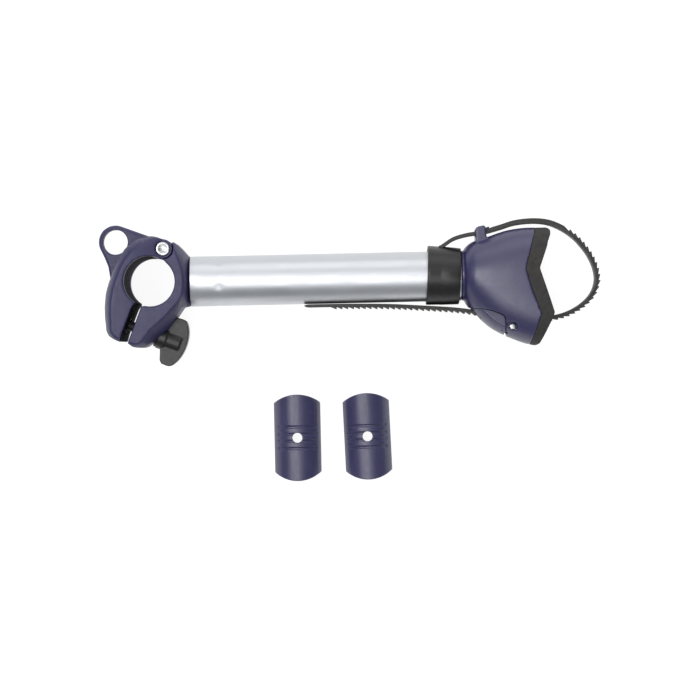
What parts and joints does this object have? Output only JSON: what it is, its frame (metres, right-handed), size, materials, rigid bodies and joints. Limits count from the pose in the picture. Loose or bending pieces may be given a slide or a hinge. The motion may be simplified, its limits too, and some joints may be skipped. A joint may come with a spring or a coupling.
{
  "type": "bicycle carrier frame arm",
  "caption": "Tube arm with a hinged rail clamp closed by a wing knob and a turning V-padded cradle head with a toothed ratchet strap, plus loose half-shell bore adapters.",
  "frame": {"origin": "middle of the clamp's bore, on its axis, halfway along its depth", "axes": "+Z along the clamped rail, +X along the tube from the clamp to the cradle head, +Y towards the hinge side of the clamp"},
  "size_m": [0.3, 0.1565, 0.048],
  "materials": {
    "navy_plastic": "satin moulded",
    "black_plastic": "satin moulded",
    "strap_plastic": "satin moulded",
    "pad_rubber": "matt moulded",
    "anodised_tube": "satin anodised",
    "steel": "zinc plated",
    "brass": "turned brass",
    "white_nylon": "plain"
  },
  "bodies": {
    "arm": {"clamp_base": "navy_plastic", "arm_tube": "anodised_tube", "tube_plug": "black_plastic", "swivel_bolt": "steel", "swivel_washer": "steel", "swivel_nut": "steel", "friction_washer": "white_nylon"},
    "jaw": {"clamp_jaw": "navy_plastic", "hinge_screw": "steel", "hinge_nut": "steel", "jaw_insert": "brass"},
    "knob_carrier": {"knob_washer": "steel"},
    "knob": {"wing_knob": "black_plastic", "knob_stud": "steel"},
    "head": {"head_housing": "navy_plastic", "v_pad": "pad_rubber", "strap_collar": "black_plastic", "ratchet_strap": "strap_plastic", "ratchet_pin": "steel", "lever_spring": "steel"},
    "lever": {"ratchet_lever": "navy_plastic"},
    "shell_a": {"adapter_shell_a": "navy_plastic"},
    "shell_b": {"adapter_shell_b": "navy_plastic"}
  },
  "joints": [
    {"name": "knob_travel", "type": "slide", "parent": "arm", "child": "knob_carrier", "axis": [0.9291, -0.3697, 0], "range_m": [0, 0.016]},
    {"name": "knob_turn", "type": "hinge", "parent": "knob_carrier", "child": "knob", "pos_m": [-0.01005, -0.02721, 0], "axis": [0.9291, -0.3697, 0], "range_deg": [0, 5760]},
    {"name": "jaw_swing", "type": "hinge", "parent": "arm", "child": "jaw", "pos_m": [0.0084, 0.01915, 0], "axis": [0, 0, -1], "range_deg": [0, 60]},
    {"name": "head_swivel", "type": "hinge", "parent": "arm", "child": "head", "pos_m": [0.19, 0, 0], "axis": [1, 0, 0], "continuous": true},
    {"name": "lever_lift", "type": "hinge", "parent": "head", "child": "lever", "pos_m": [0.2145, -0.0313, 0], "axis": [0, 0, 1], "range_deg": [0, 14], "stiffness_Nm_per_rad": 0.05, "springref_deg": -20.05},
    {"name": "shell_a_lift", "type": "slide", "parent": "arm", "child": "shell_a", "axis": [0, 0, 1], "range_m": [0, 0.08]},
    {"name": "shell_b_lift", "type": "slide", "parent": "arm", "child": "shell_b", "axis": [0, 0, 1], "range_m": [0, 0.08]}
  ],
  "couplings": [
    {"joint": "knob_travel", "follows": "knob_turn", "m_per_rad": 0.00015915},
    {"joint": "jaw_swing", "follows": "knob_turn", "ratio": 0.010416}
  ]
}
